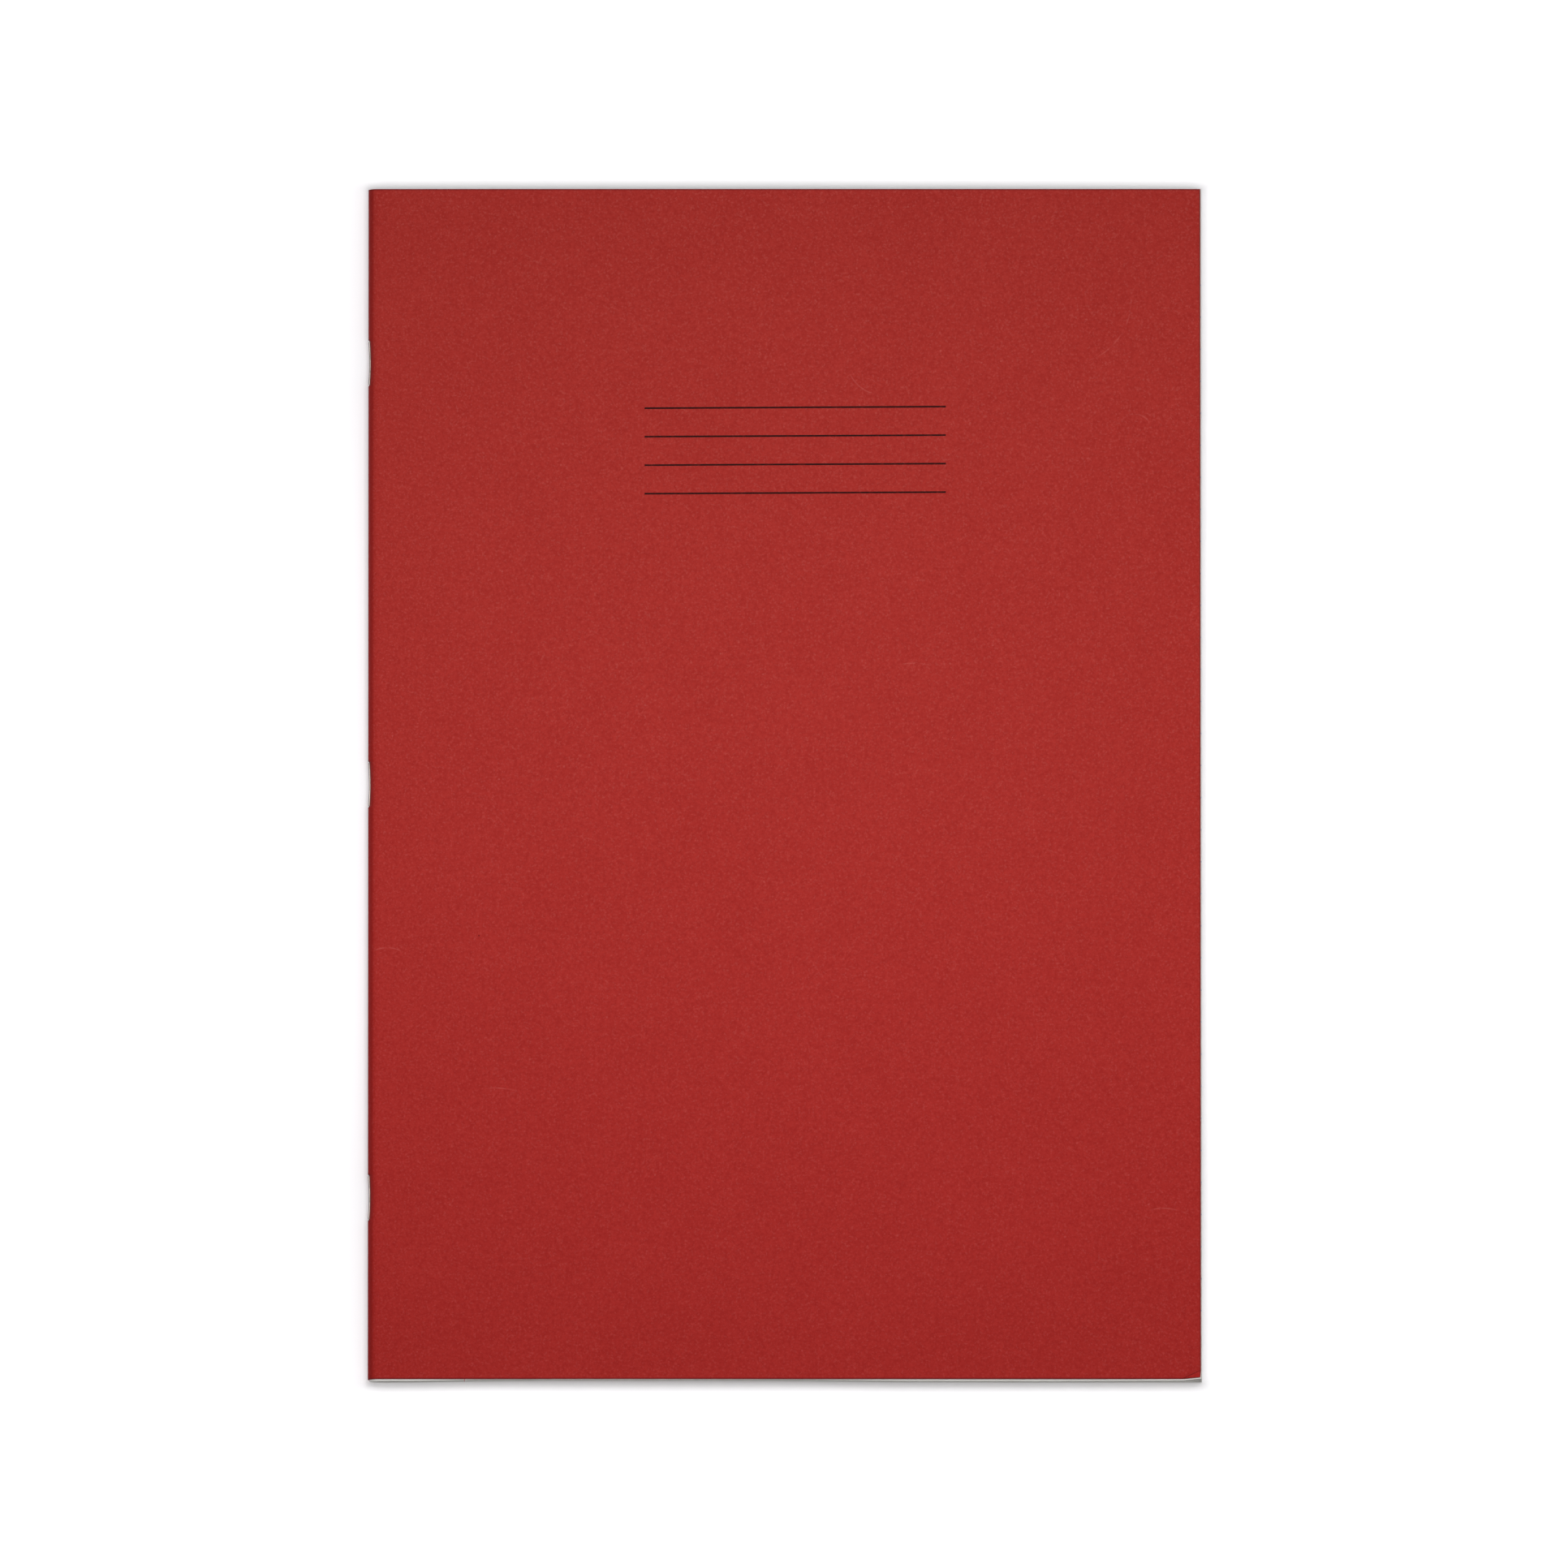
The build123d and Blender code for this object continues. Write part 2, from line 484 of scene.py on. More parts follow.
def ruling_group():
    """Feint rules across the page at an even pitch, and one margin line down it."""
    group, given, result = shader_group(
        "page_ruling", {"Place": "Vector", "Margin X": "Float"}, {"Rules": "Float", "Margin": "Float"}
    )
    page = split(group, given["Place"])
    first_rule = head_y - RULE_HEAD_SPACE
    rules_down = calc(group, "DIVIDE", calc(group, "SUBTRACT", first_rule, page["Y"]), RULE_PITCH)
    nearest_rule = calc(group, "ROUND", rules_down)
    off_rule = away_from(group, rules_down, nearest_rule)
    on_rule = near(group, off_rule, *(width / RULE_PITCH for width in RULE_HALF_WIDTH))
    below_head = calc(group, "GREATER_THAN", nearest_rule, -1)
    above_tail = calc(group, "GREATER_THAN", page["Y"], tail_y + RULE_TAIL_SPACE)
    on_rule = calc(group, "MULTIPLY", on_rule, calc(group, "MULTIPLY", below_head, above_tail))
    group.links.new(on_rule, result["Rules"])
    on_margin = near(group, away_from(group, page["X"], given["Margin X"]), *RULE_HALF_WIDTH)
    group.links.new(on_margin, result["Margin"])
    return group


def page_material(name, margin_x):
    """One side of a leaf: ruled writing paper with a margin line."""
    material, tree, shader = new_material(name, specular=0.25, roughness=0.78)
    where = place_at_rest(tree)
    tooth = use_group(tree, paper_tooth, {"Place": where})
    ruling = use_group(tree, page_ruling, {"Place": where, "Margin X": margin_x})
    cloud = ramp(tree, tooth["Cloud"], low=0.35, high=0.75)
    colour = mix_colour(tree, cloud, PAPER_WHITE, PAPER_SHADE)
    colour = stain(tree, colour, ruling["Rules"], FEINT_BLUE, RULE_STRENGTH)
    colour = stain(tree, colour, ruling["Margin"], MARGIN_RED, RULE_STRENGTH)
    tree.links.new(colour, shader.inputs["Base Color"])
    raise_grain(tree, shader, tooth["Tooth"], strength=0.25, distance=PAPER_RELIEF)
    return material


def page_edge_material():
    """The cut edge of the paper, on which its tooth shows as fine specks of shade."""
    material, tree, shader = new_material("paper_cut_edge", specular=0.2, roughness=0.85)
    tooth = use_group(tree, paper_tooth, {"Place": place_at_rest(tree)})
    specks = ramp(tree, tooth["Tooth"], low=0.3, high=0.7)
    colour = mix_colour(tree, specks, PAPER_WHITE, PAPER_SHADE)
    tree.links.new(colour, shader.inputs["Base Color"])
    raise_grain(tree, shader, tooth["Tooth"], strength=0.3, distance=PAPER_RELIEF)
    return material


def strip_blend(piece):
    """Bake a folded sheet's placement into its mesh."""
    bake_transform(piece)


paper_tooth = paper_tooth_group()
page_ruling = ruling_group()
right_page = page_material("ruled_right_page", spine_x + MARGIN_DISTANCE)
left_page = page_material("ruled_left_page", fore_x - MARGIN_DISTANCE)
paper_edge = page_edge_material()
fold_half = folding_tree()
trim = random.Random(TRIM_SEED)

for number in range(1, sheet_count + 1):
    for half, side in (("front", 1), ("back", -1)):
        node = f"sheet_{number:02d}_{half}_leaf"
        low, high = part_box(node)
        radius = high.z - crease_z if side > 0 else crease_z - low.z
        layer = sheet_count + 1 - number
        is_last_front = side > 0 and number == sheet_count
        skew = trim.uniform(-TRIM_SPREAD, TRIM_SPREAD)
        leaf = flat_sheet(
            f"ruled_leaf_{number:02d}_{half}",
            radius,
            tail_y + skew,
            head_y + skew,
            fore_x + PAGE_CREEP + trim.uniform(0, 2 * TRIM_SPREAD),
            strip=not is_last_front,
            fold_columns=14,
            leaf_columns=8,
            slip=TAIL_SLIP,
        )
        plain_mesh(
            leaf,
            fold_half,
            {
                "Fold Radius": radius,
                "Thickness": PAPER_THICKNESS,
                "Side": float(side),
                "Fore Edge Height": block_radius * layer / sheet_count,
                "Crease Gap": 0.0,
                "Wave": PAGE_WAVE,
                "Corner Angle": DOG_EAR_ANGLE * (layer / sheet_count if side > 0 else 0.0),
                "Outer Material": right_page if side > 0 else left_page,
                "Inner Material": left_page if side > 0 else right_page,
                "Edge Material": paper_edge,
            },
        )
        if is_last_front:
            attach(leaf, node)
        else:
            strip_blend(leaf)
        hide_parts(node)

# The cover: one folded sheet of matte red card, dyed through, wrapped round the gathered leaves.
# The front has four printed lines for the pupil's name and subject, a painted sheen towards the head
# and painted shade towards the tail. Handling has left scuffs and specks on it, and the lower outer corner
# has been turned up.
CARD_THICKNESS = 0.30 * MM
CARD_RED = (0.410, 0.0285, 0.0226, 1)
CARD_DEEP_RED = (0.338, 0.0180, 0.0145, 1)
# Deeper red along the spine's bend: partly burnish, partly painted shade of the curve
CARD_BEND_SHADE_RED = (0.24, 0.0075, 0.0070, 1)
CARD_PALE = (0.56, 0.115, 0.10, 1)
CARD_CUT = (0.15, 0.008, 0.010, 1)
# The dark red of painted shade: where the crowns bite in, behind the wire, and along the bent corner's crease
CARD_PAINTED_SHADE = (0.05, 0.004, 0.005, 1)
CARD_RELIEF = 0.02 * MM
CARD_CREASE_GAP = 9 * STRIP_STEP
COVER_SPRING = 0.10 * MM
WIDE_MOTTLE = 0.14
SPECK_RIM = 0.3
# Tints for a painted sheen towards the front's head and painted shade towards its tail
HEAD_SHEEN_TINT = (1.01, 1.14, 1.11, 1)
TAIL_SHADE_TINT = (0.98, 0.83, 0.865, 1)
PRINT_INK = (0.013, 0.002, 0.002, 1)
TITLE_LINES = 4
TITLE_LENGTH = 75 * MM
TITLE_END_FADE = 0.2 * MM
TITLE_OFFSET = 2.7 * MM
TITLE_FROM_HEAD = 54.6 * MM
TITLE_PITCH = 7.12 * MM
TITLE_SLANT = math.radians(0.31)
# Painted shade round each crown: the size of the dark spot at its ends, its stretch up the bend, and the
# bed's shadow
BITE_SHADE_SIZE = 0.50 * MM
BITE_SHADE_REACH = 3.0
BED_SHADE = 0.8
SCUFF_END_FADE = 0.25

# The distances within which a mark is full, and at which it has faded out
TITLE_HALF_WIDTH = (0.1575 * MM, 0.279 * MM)
EDGE_LINE = (0.168 * MM, 0.42 * MM)
BEND_BAND = (0.9 * MM, 1.5 * MM)
DOG_EAR_SHADE_LINE = (0.064 * MM, 0.16 * MM)
SCUFF_HALF_WIDTH = (0.06 * MM, 0.24 * MM)

# Scuffs on the front board: centre X and Y and radius in millimetres, and the angles in degrees at which
# the arc begins and ends
FRONT_SCUFFS = [
    (69.8, 120.8, 16.3, -72, 12),
    (24.5, 106.0, 9.0, -160, -95),
    (87.0, 88.0, 4.2, 20, 150),
    (32.0, 13.0, 17.0, 72, 106),
    (-54.0, -32.0, 19.0, 62, 92),
    (-72.0, -98.0, 22.0, 70, 100),
    (94.0, -120.0, 14.0, 60, 110),
    (-98.5, -48.5, 7.5, 55, 120),
]


def speck_mask(tree, where, cell, size, share, seed):
    """Small round specks, one in some of the cells of a scattered grid."""
    moved = place(tree, "ShaderNodeVectorMath", {0: where, 1: (seed, seed, seed)}, operation="ADD")
    cells = place(tree, "ShaderNodeTexVoronoi", {"Vector": moved.outputs[0], "Scale": 1 / cell}).outputs
    chance = place(tree, "ShaderNodeSeparateColor", {0: cells["Color"]}).outputs
    own_size = calc(tree, "MULTIPLY", chance["Green"], size / cell)
    past_rim = calc(tree, "SUBTRACT", cells["Distance"], own_size)
    inside = near(tree, past_rim, -SPECK_RIM * size / cell, 0)
    return calc(tree, "MULTIPLY", inside, calc(tree, "LESS_THAN", chance["Red"], share))


def card_fibre_group():
    """The mottle, the stray fibres and the grain of dyed card."""
    group, given, result = shader_group(
        "card_fibre",
        {"Place": "Vector"},
        {"Mottle": "Float", "Pale Specks": "Float", "Dark Specks": "Float", "Grain": "Float"},
    )
    where = given["Place"]
    fine = noise(group, where, scale=1500.0, detail=4.0)
    wide = calc(group, "MULTIPLY", noise(group, where, scale=55.0, detail=3.0), WIDE_MOTTLE)
    mottle = calc(group, "MULTIPLY_ADD", fine, 1 - WIDE_MOTTLE, wide)
    group.links.new(mottle, result["Mottle"])
    pale = speck_mask(group, where, cell=2.6 * MM, size=0.34 * MM, share=0.5, seed=0.3)
    group.links.new(pale, result["Pale Specks"])
    dark = speck_mask(group, where, cell=13 * MM, size=0.30 * MM, share=0.18, seed=0.7)
    group.links.new(dark, result["Dark Specks"])
    group.links.new(noise(group, where, scale=2100.0, detail=4.0), result["Grain"])
    return group


def card_base(tree, shader, where):
    """Dyed card: its mottled colour, with the grain as relief."""
    fibre = use_group(tree, card_fibre, {"Place": where})
    mottle = ramp(tree, fibre["Mottle"], low=0.25, high=0.75)
    colour = mix_colour(tree, mottle, CARD_DEEP_RED, CARD_RED)
    pale_grain = ramp(tree, fibre["Grain"], low=0.5, high=0.75, end=0.24)
    colour = mix_colour(tree, pale_grain, colour, CARD_PALE)
    colour = stain(tree, colour, fibre["Pale Specks"], CARD_PALE, strength=0.25)
    colour = stain(tree, colour, fibre["Dark Specks"], CARD_CUT, strength=0.7)
    raise_grain(tree, shader, fibre["Grain"], strength=0.22, distance=CARD_RELIEF)
    return colour


def edge_line_mask(tree, page):
    """A thin line along the head, tail and fore edge, which is painted darker."""
    to_head = calc(tree, "SUBTRACT", head_y, page["Y"])
    to_tail = calc(tree, "SUBTRACT", page["Y"], tail_y)
    to_fore = calc(tree, "SUBTRACT", fore_x, page["X"])
    nearest = calc(tree, "MINIMUM", calc(tree, "MINIMUM", to_head, to_tail), to_fore)
    return near(tree, nearest, *EDGE_LINE)


def staple_shade_mask(tree, page):
    """Painted shade: dark spots where the ends of each crown bite into the card, and a painted shadow in the
    bed behind the wire.
    """
    beside = beside_staple(tree, page["Y"])
    off_crease = away_from(tree, page["Z"], crease_z)
    past_end = away_from(tree, beside, crown_half + BED_RAMP / 2)
    up_bend = calc(tree, "DIVIDE", off_crease, BITE_SHADE_REACH)
    bite = calc(tree, "ADD", calc(tree, "POWER", past_end, 2), calc(tree, "POWER", up_bend, 2))
    bite = near(tree, calc(tree, "SQRT", bite), BITE_SHADE_SIZE / 2, BITE_SHADE_SIZE)
    bed = ramp(tree, off_crease, BITE_SHADE_SIZE, BITE_SHADE_REACH * BITE_SHADE_SIZE, start=BED_SHADE, end=0)
    bed = calc(tree, "MULTIPLY", bed, near(tree, beside, crown_half, crown_half + BITE_SHADE_SIZE))
    return calc(tree, "MAXIMUM", bite, bed)


def fold_burnish_and_shade(tree, page, colour):
    """Card at the spine: a deeper red along the bend, partly burnish and partly painted shade of the curve,
    and painted shade where the crowns bite in.
    """
    bend = near(tree, calc(tree, "SUBTRACT", page["X"], spine_x), *BEND_BAND)
    colour = stain(tree, colour, bend, CARD_BEND_SHADE_RED, strength=0.6)
    # Painted shade at the crowns' ends and a painted shadow in the bed behind the wire
    return stain(tree, colour, staple_shade_mask(tree, page), CARD_PAINTED_SHADE, strength=0.85)


def title_mask(tree, page, taken):
    """Four printed lines, a little askew, with ink that has not taken everywhere."""
    across = calc(tree, "SUBTRACT", page["X"], TITLE_OFFSET)
    down = calc(tree, "SUBTRACT", head_y - TITLE_FROM_HEAD, page["Y"])
    down = calc(tree, "MULTIPLY_ADD", across, math.tan(TITLE_SLANT), down)
    count = calc(tree, "DIVIDE", down, TITLE_PITCH)
    line = calc(tree, "MAXIMUM", calc(tree, "ROUND", count), 0)
    line = calc(tree, "MINIMUM", line, TITLE_LINES - 1)
    off_line = calc(tree, "MULTIPLY", away_from(tree, count, line), TITLE_PITCH)
    printed = near(tree, off_line, *TITLE_HALF_WIDTH)
    half_length = TITLE_LENGTH / 2
    inside = near(tree, calc(tree, "ABSOLUTE", across), half_length - TITLE_END_FADE, half_length)
    ink = ramp(tree, taken, low=0.2, high=0.5, start=0.85)
    return calc(tree, "MULTIPLY", calc(tree, "MULTIPLY", printed, inside), ink)


def scuff_group():
    """One scuff: a stretch of a thin arc, given by its centre, radius, start angle and end angle."""
    numbers = ("X", "Y", "Radius", "From", "To")
    group, given, result = shader_group(
        "scuff_arc", {"Place": "Vector", **dict.fromkeys(numbers, "Float")}, {"Mask": "Float"}
    )
    page = split(group, given["Place"])
    x = calc(group, "SUBTRACT", page["X"], given["X"])
    y = calc(group, "SUBTRACT", page["Y"], given["Y"])
    out = calc(group, "ADD", calc(group, "POWER", x, 2), calc(group, "POWER", y, 2))
    on_arc = near(group, away_from(group, calc(group, "SQRT", out), given["Radius"]), *SCUFF_HALF_WIDTH)
    angle = calc(group, "ARCTAN2", y, x)
    begun = ramp(group, calc(group, "SUBTRACT", angle, given["From"]), 0, SCUFF_END_FADE)
    ended = ramp(group, calc(group, "SUBTRACT", given["To"], angle), 0, SCUFF_END_FADE)
    patches = ramp(group, noise(group, given["Place"], scale=420.0), low=0.35, high=0.6)
    along = calc(group, "MULTIPLY", calc(group, "MULTIPLY", begun, ended), patches)
    group.links.new(calc(group, "MULTIPLY", on_arc, along), result["Mask"])
    return group


def front_material():
    """The front board's outside: dyed card, print, scuffs, darker edges, bent corner, painted sheen and
    shade.
    """
    material, tree, shader = new_material("red_card_front", specular=0.06, roughness=0.62)
    where = place_at_rest(tree)
    page = split(tree, where)
    card = card_base(tree, shader, where)
    # Painted sheen, paler towards the head, and painted shade, deeper towards the tail
    faded = mix_colour(tree, ramp(tree, page["Y"], tail_y, head_y), TAIL_SHADE_TINT, HEAD_SHEEN_TINT)
    colour = mix_colour(tree, 1.0, card, faded, blend="MULTIPLY")
    for x, y, radius, start, stop in FRONT_SCUFFS:
        arc = {
            "Place": where,
            "X": x * MM,
            "Y": y * MM,
            "Radius": radius * MM,
            "From": math.radians(start),
            "To": math.radians(stop),
        }
        scuff = use_group(tree, scuff_arc, arc)
        colour = stain(tree, colour, scuff["Mask"], CARD_PALE, strength=0.28)
    printed = title_mask(tree, page, noise(tree, where, scale=700.0))
    colour = mix_colour(tree, printed, colour, PRINT_INK)
    # Along the spine: deeper red, partly burnish and partly painted shade, and painted shade at the crowns
    colour = fold_burnish_and_shade(tree, page, colour)
    # Painted shade along the crease of the turned-up corner
    ear_crease_shade = near(tree, calc(tree, "ABSOLUTE", past_dog_ear_crease(tree, page)), *DOG_EAR_SHADE_LINE)
    colour = stain(tree, colour, ear_crease_shade, CARD_PAINTED_SHADE, strength=0.5)
    colour = stain(tree, colour, edge_line_mask(tree, page), CARD_CUT, strength=0.7)
    tree.links.new(colour, shader.inputs["Base Color"])
    return material


def board_material():
    """The inside of the cover and the outside of the back board: dyed card, darker edges, painted shade at
    the fold.
    """
    material, tree, shader = new_material("red_card_plain", specular=0.06, roughness=0.64)
    where = place_at_rest(tree)
    page = split(tree, where)
    # Along the spine: deeper red, partly burnish and partly painted shade, and painted shade at the crowns
    colour = fold_burnish_and_shade(tree, page, card_base(tree, shader, where))
    colour = stain(tree, colour, edge_line_mask(tree, page), CARD_CUT, strength=0.5)
    tree.links.new(colour, shader.inputs["Base Color"])
    return material


def card_edge_material():
    """The cut edge of the card, darker than its face, with loose fibres."""
    material, tree, shader = new_material("red_card_cut_edge", specular=0.1, roughness=0.8)
    fibre = use_group(tree, card_fibre, {"Place": place_at_rest(tree)})
    loose = ramp(tree, fibre["Grain"], low=0.35, high=0.65)
    colour = mix_colour(tree, loose, CARD_CUT, CARD_DEEP_RED)
    tree.links.new(colour, shader.inputs["Base Color"])
    raise_grain(tree, shader, fibre["Grain"], strength=0.4, distance=CARD_RELIEF)
    return material


card_fibre = card_fibre_group()
scuff_arc = scuff_group()
front_face = front_material()
plain_board = board_material()
card_edge = card_edge_material()

for half, side in (("front", 1), ("back", -1)):
    board = flat_sheet(
        f"card_{half}_board",
        spine_radius,
        tail_y,
        head_y,
        fore_x,
        strip=True,
        fold_columns=20,
        leaf_columns=20,
    )
    plain_mesh(
        board,
        fold_half,
        {
            "Fold Radius": spine_radius,
            "Thickness": CARD_THICKNESS,
            "Side": float(side),
            "Fore Edge Height": spine_radius + (COVER_SPRING if side > 0 else 0.0),
            "Crease Gap": CARD_CREASE_GAP,
            "Wave": 0.0,
            "Corner Angle": DOG_EAR_ANGLE if side > 0 else 0.0,
            "Outer Material": front_face if side > 0 else plain_board,
            "Inner Material": plain_board,
            "Edge Material": card_edge,
        },
    )
    strip_blend(board)
    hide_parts(f"{half}_cover")

# The staples: three lengths of drawn zinc-plated wire, driven through the fold from the outside.
# The crown lies along the spine and is pulled in at its middle, the legs pass through every sheet on the
# crease plane, and their ends are clinched towards each other inside the innermost fold.
WIRE_GREY = (0.47, 0.38, 0.34, 1)
WIRE_DULL = (0.24, 0.21, 0.18, 1)
# Dark tarnish on the wire's flanks, which is also painted shade of their sides
WIRE_TARNISH_SHADE = (0.11, 0.085, 0.08, 1)
WIRE_RELIEF = 0.005 * MM
WIRE_SIDES = 20
WIRE_BEND = 0.30 * MM
WIRE_BEND_STEPS = 6
CLINCH_LENGTH = 4.2 * MM
CLINCH_PRESS = 0.05 * MM
CLINCH_POINTS = 2
BOW_STEPS = 12
CROWN_MIDDLE_POINT = CLINCH_POINTS + BOW_STEPS / 2
RUBBED_METALLIC = 0.9

# Drawing lines run with the crown: many to the metre across it, few along it
DRAWING_SCALE = (9000.0, 300.0, 9000.0)

# The distances from the crease plane at which the wire is still tarnished and painted dark as shade,
# and at which it is rubbed bright
RUBBED_FROM = 0.70 * wire_radius
RUBBED_BRIGHT = 0.96 * wire_radius


def bent_wire_tree():
    """The rule that rounds a wire line at its bends, not along the crown, and gives it a round section."""
    tree = bpy.data.node_groups.new("bent_wire", "GeometryNodeTree")
    given = tree_inputs(
        tree,
        {"Wire Line": "Geometry", "Wire Radius": "Float", "Bend Radius": "Float", "Material": "Material"},
    )
    tree.interface.new_socket(name="Wire", in_out="OUTPUT", socket_type="NodeSocketGeometry")
    line = place(tree, "GeometryNodeMeshToCurve", {"Mesh": given["Wire Line"]}).outputs[0]
    index = tree.nodes.new("GeometryNodeInputIndex").outputs[0]
    is_bend = calc(tree, "GREATER_THAN", away_from(tree, index, CROWN_MIDDLE_POINT), (BOW_STEPS - 1) / 2)
    bend_radius = calc(tree, "MULTIPLY", is_bend, given["Bend Radius"])
    rounded = place(
        tree,
        "GeometryNodeFilletCurve",
        {"Curve": line, "Radius": bend_radius, "Count": WIRE_BEND_STEPS, "Limit Radius": True},
        mode="POLY",
    ).outputs[0]
    section = place(
        tree,
        "GeometryNodeCurvePrimitiveCircle",
        {"Resolution": WIRE_SIDES, "Radius": given["Wire Radius"]},
    ).outputs[0]
    wire = place(
        tree,
        "GeometryNodeCurveToMesh",
        {"Curve": rounded, "Profile Curve": section, "Fill Caps": True},
    ).outputs[0]
    whole = place(tree, "GeometryNodeRealizeInstances", {"Geometry": wire}).outputs[0]
    plated = place(tree, "GeometryNodeSetMaterial", {"Geometry": whole, "Material": given["Material"]})
    place(tree, "NodeGroupOutput", {0: plated.outputs[0]})
    return tree


def wire_material():
    """Drawn zinc wire: drawing lines, dull patches, worn bright faces, flanks of tarnish and painted shade.
    """
    material, tree, shader = new_material("zinc_wire", specular=0.1)
    where = place(tree, "ShaderNodeTexCoord").outputs["Object"]
    dull = ramp(tree, noise(tree, where, scale=900.0, detail=3.0), low=0.42, high=0.72, end=0.7)
    colour = mix_colour(tree, dull, WIRE_GREY, WIRE_DULL)
    # The flanks are tarnish and painted shade, dark and not metallic
    rubbed_not_shaded = ramp(tree, away_from(tree, split(tree, where)["Z"], crease_z), RUBBED_FROM, RUBBED_BRIGHT)
    colour = mix_colour(tree, rubbed_not_shaded, WIRE_TARNISH_SHADE, colour)
    tree.links.new(colour, shader.inputs["Base Color"])
    tree.links.new(calc(tree, "MULTIPLY", rubbed_not_shaded, RUBBED_METALLIC), shader.inputs["Metallic"])
    drawn = place(tree, "ShaderNodeMapping", {"Vector": where, "Scale": DRAWING_SCALE}).outputs[0]
    lines = noise(tree, drawn, scale=1.0)
    roughness = ramp(tree, lines, low=0.3, high=0.7, start=0.42, end=0.58)
    tree.links.new(roughness, shader.inputs["Roughness"])
    raise_grain(tree, shader, lines, strength=0.3, distance=WIRE_RELIEF)
    return material


bent_wire = bent_wire_tree()
zinc_wire = wire_material()
leg_offset = crown_half - wire_radius
crown_x = spine_x + wire_radius

for staple, centre_y in zip(staples, staple_places):
    clinch = [(fold_x - CLINCH_PRESS, leg_offset - CLINCH_LENGTH), (fold_x, leg_offset)]
    shares = [1 - 2 * step / BOW_STEPS for step in range(BOW_STEPS + 1)]
    crown = [(crown_x + CROWN_BOW * (1 - share**2), share * leg_offset) for share in shares]
    line = clinch + crown + [(x, -y) for x, y in reversed(clinch)]
    points = [(x, centre_y + y, crease_z) for x, y in line]
    mesh = bpy.data.meshes.new(f"wire_{staple}")
    mesh.from_pydata(points, [(step, step + 1) for step in range(len(points) - 1)], [])
    wire = new_object(f"wire_{staple}", mesh)
    plain_mesh(
        wire,
        bent_wire,
        {"Wire Radius": wire_radius, "Bend Radius": WIRE_BEND, "Material": zinc_wire},
    )
    wire.data.polygons.foreach_set("use_smooth", [True] * len(wire.data.polygons))
    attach(wire, f"sheet_{sheet_count:02d}_back_leaf")
    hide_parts(staple)

# The table and the light: a plain white top under a soft panel, with a smaller panel at either side, low
# strips that fill the edges and an even sky. The top shows white to the camera, and keeps the soft shadow
# that the book lays round itself.
WHITE = (1, 1, 1, 1)
TABLE_SIZE = 8.0
TABLE_GAP = 0.02 * MM
TABLE_WHITE = (0.90, 0.885, 0.91, 1)
TABLE_LIFT = 0.275
SHOWN_WHITE = 1.05
LAMP_SHARE = 0.93
LAMP_REACH = 0.47
SKY_LIGHT = 0.06

# Each lamp's place, its width and depth, and its power in watts
LAMPS = {
    "panel_above": ((0, 0, 0.438), (0.20, 0.217), 0.945),
    "panel_left": ((-0.235, 0, 0.345), (0.156, 0.248), 0.365),
    "panel_right": ((0.235, 0, 0.345), (0.156, 0.248), 0.43),
    "strip_before": ((0, -0.95, 0.26), (1.2, 0.20), 1.7),
    "strip_behind": ((0, 0.95, 0.26), (1.2, 0.20), 1.2),
    "strip_left": ((-0.95, 0, 0.26), (0.20, 1.2), 0.5),
    "strip_right": ((0.95, 0, 0.26), (0.20, 1.2), 1.1),
}


def seen_directly(tree):
    """True for the camera's own rays, and for those that are mirrored or pass through."""
    path = tree.nodes.new("ShaderNodeLightPath").outputs
    seen = calc(tree, "MAXIMUM", path["Is Camera Ray"], path["Is Glossy Ray"])
    return calc(tree, "MAXIMUM", seen, path["Is Transmission Ray"])


def table_material():
    """A white table top, lifted to white for the camera by as much as the lamps fall off from the book."""
    material, tree, shader = new_material("white_table", specular=0.0, roughness=0.9)
    where = place(tree, "ShaderNodeTexCoord").outputs["Object"]
    colour = stain(tree, TABLE_WHITE, noise(tree, where, scale=3.0), WHITE, strength=0.1)
    tree.links.new(colour, shader.inputs["Base Color"])
    shader.inputs["Emission Color"].default_value = WHITE
    away = place(tree, "ShaderNodeVectorMath", {0: where}, operation="LENGTH").outputs["Value"]
    spread = calc(tree, "POWER", calc(tree, "DIVIDE", away, LAMP_REACH), 2)
    lamplight = calc(tree, "DIVIDE", LAMP_SHARE, calc(tree, "POWER", calc(tree, "ADD", spread, 1), 2))
    lift = calc(tree, "MAXIMUM", calc(tree, "SUBTRACT", SHOWN_WHITE, lamplight), TABLE_LIFT)
    tree.links.new(calc(tree, "MULTIPLY", seen_directly(tree), lift), shader.inputs["Emission Strength"])
    return material


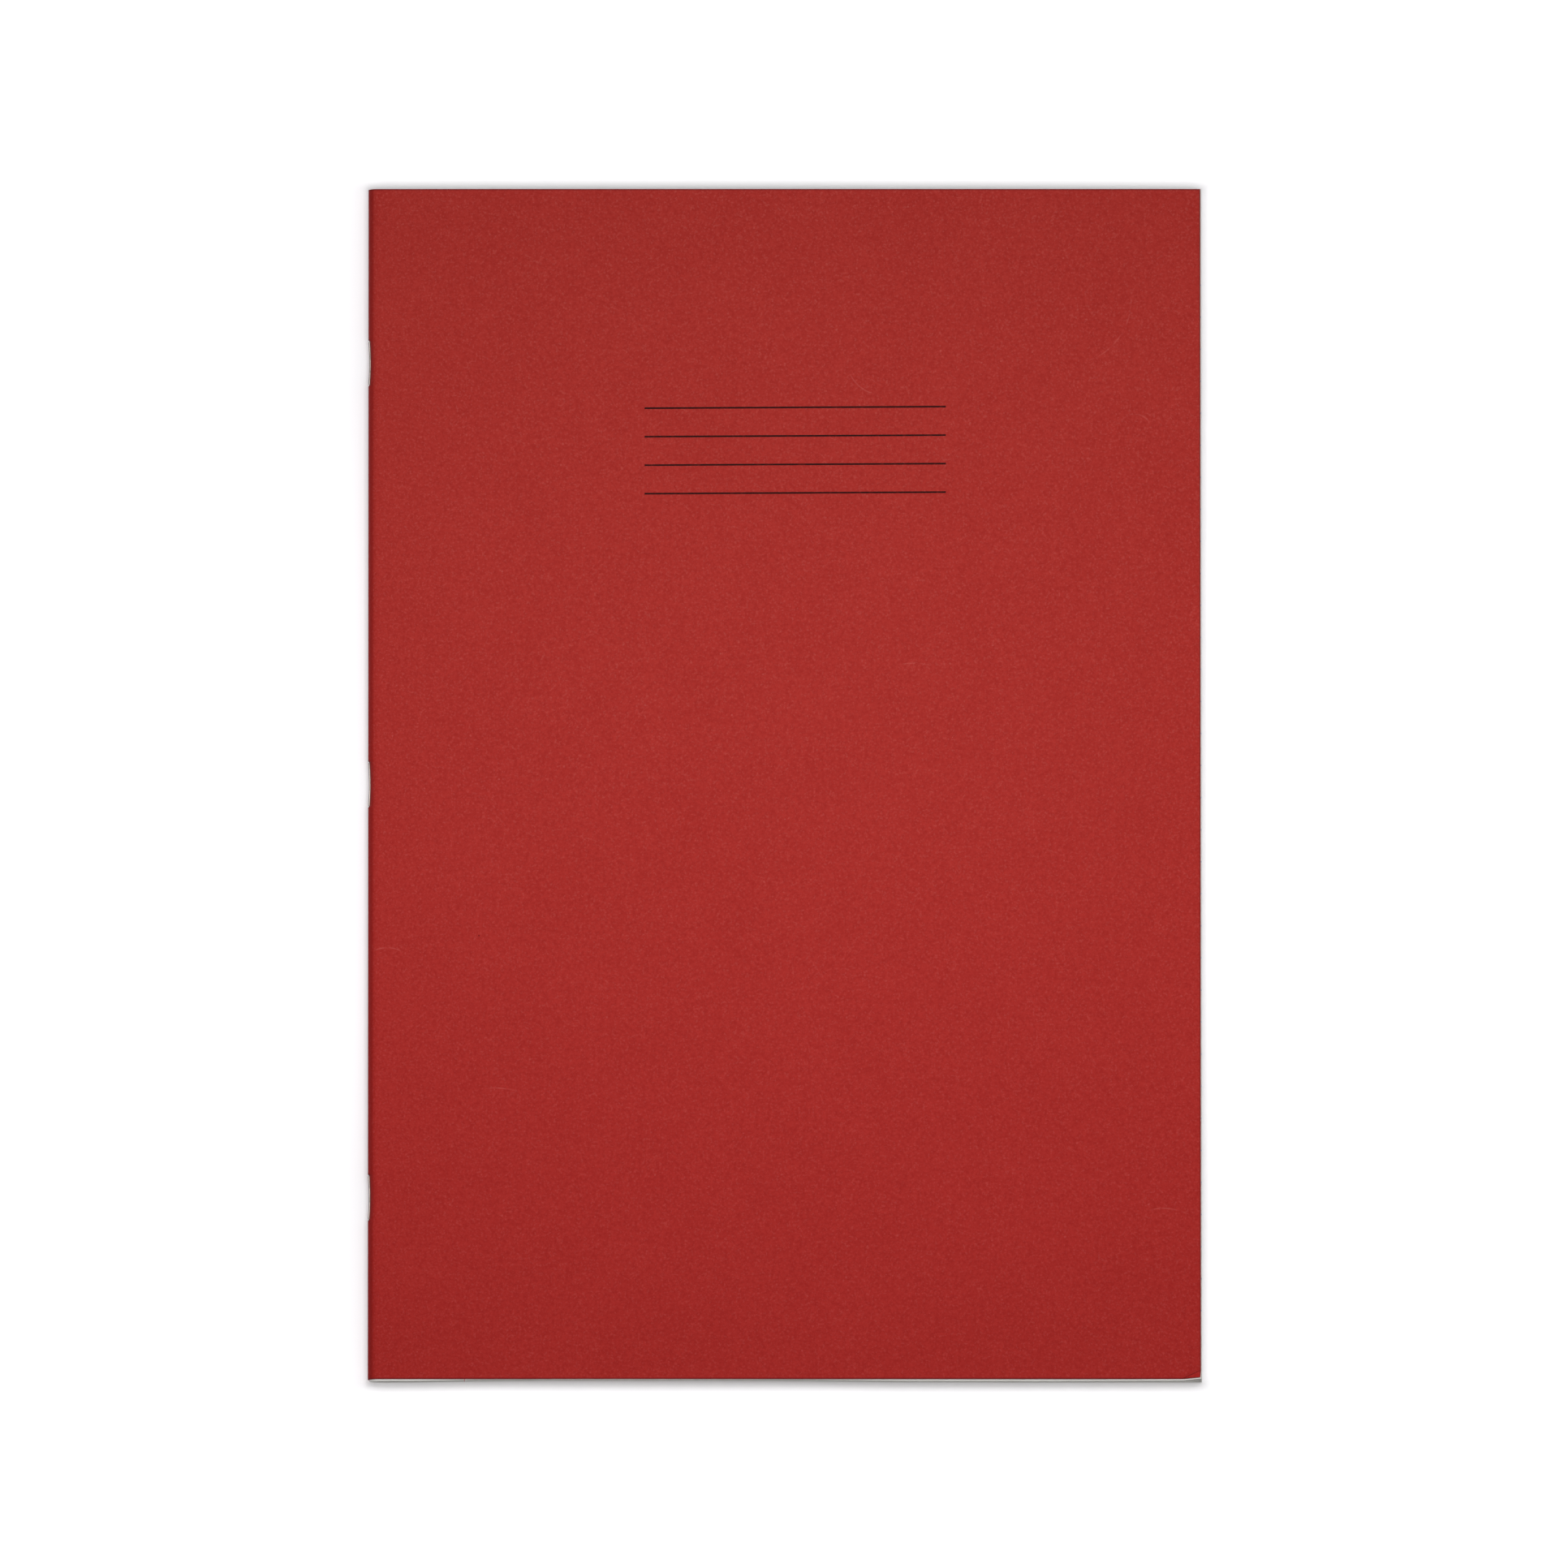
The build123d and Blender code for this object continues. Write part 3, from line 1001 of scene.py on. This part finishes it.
half_table = TABLE_SIZE / 2
table_corners = [(-1, -1), (1, -1), (1, 1), (-1, 1)]
table_mesh = bpy.data.meshes.new("table_top")
table_mesh.from_pydata(
    [(x * half_table, y * half_table, -TABLE_GAP) for x, y in table_corners],
    [],
    [range(len(table_corners))],
)
table_mesh.materials.append(table_material())
new_object("table_top", table_mesh)

scene = bpy.context.scene
world = bpy.data.worlds.new("even_sky")
world.use_nodes = True
scene.world = world
sky_tree = world.node_tree
sky = sky_tree.nodes["Background"]
sky.inputs["Color"].default_value = WHITE
strength = calc(sky_tree, "MULTIPLY_ADD", seen_directly(sky_tree), 1 - SKY_LIGHT, SKY_LIGHT)
sky_tree.links.new(strength, sky.inputs["Strength"])

for name, (position, size, power) in LAMPS.items():
    lamp_data = bpy.data.lights.new(name, "AREA")
    lamp_data.shape = "RECTANGLE"
    lamp_data.size, lamp_data.size_y = size
    lamp_data.energy = power
    lamp = bpy.data.objects.new(name, lamp_data)
    lamp.location = position
    lamp.rotation_euler = (-Vector(position)).to_track_quat("-Z", "Y").to_euler()
    scene.collection.objects.link(lamp)

# The camera: a long lens from almost straight above, a little on the tail side, so that a line of page
# edges shows below the cover.
PICTURE_SIDE = 1932
BOOK_HEIGHT_PIXELS = 1466
CAMERA_TILT = math.radians(6.4)
CAMERA_DISTANCE = 17.5
SENSOR_WIDTH = 36.0
AIM_BELOW_MIDDLE = -0.15 * MM
AIM_TO_SPINE = -0.08 * MM

picture_width = (head_y - tail_y) * math.cos(CAMERA_TILT) * PICTURE_SIDE / BOOK_HEIGHT_PIXELS
camera_data = bpy.data.cameras.new("long_lens")
camera_data.sensor_width = SENSOR_WIDTH
camera_data.lens = SENSOR_WIDTH * CAMERA_DISTANCE / picture_width
camera_data.clip_end = 2 * CAMERA_DISTANCE
camera = bpy.data.objects.new("long_lens", camera_data)
aim = Vector((AIM_TO_SPINE, AIM_BELOW_MIDDLE, cover_top_z))
away = Vector((0, -math.sin(CAMERA_TILT), math.cos(CAMERA_TILT)))
camera.location = aim + away * CAMERA_DISTANCE
camera.rotation_euler = (CAMERA_TILT, 0, 0)
scene.collection.objects.link(camera)
scene.camera = camera
scene.view_settings.view_transform = "Standard"
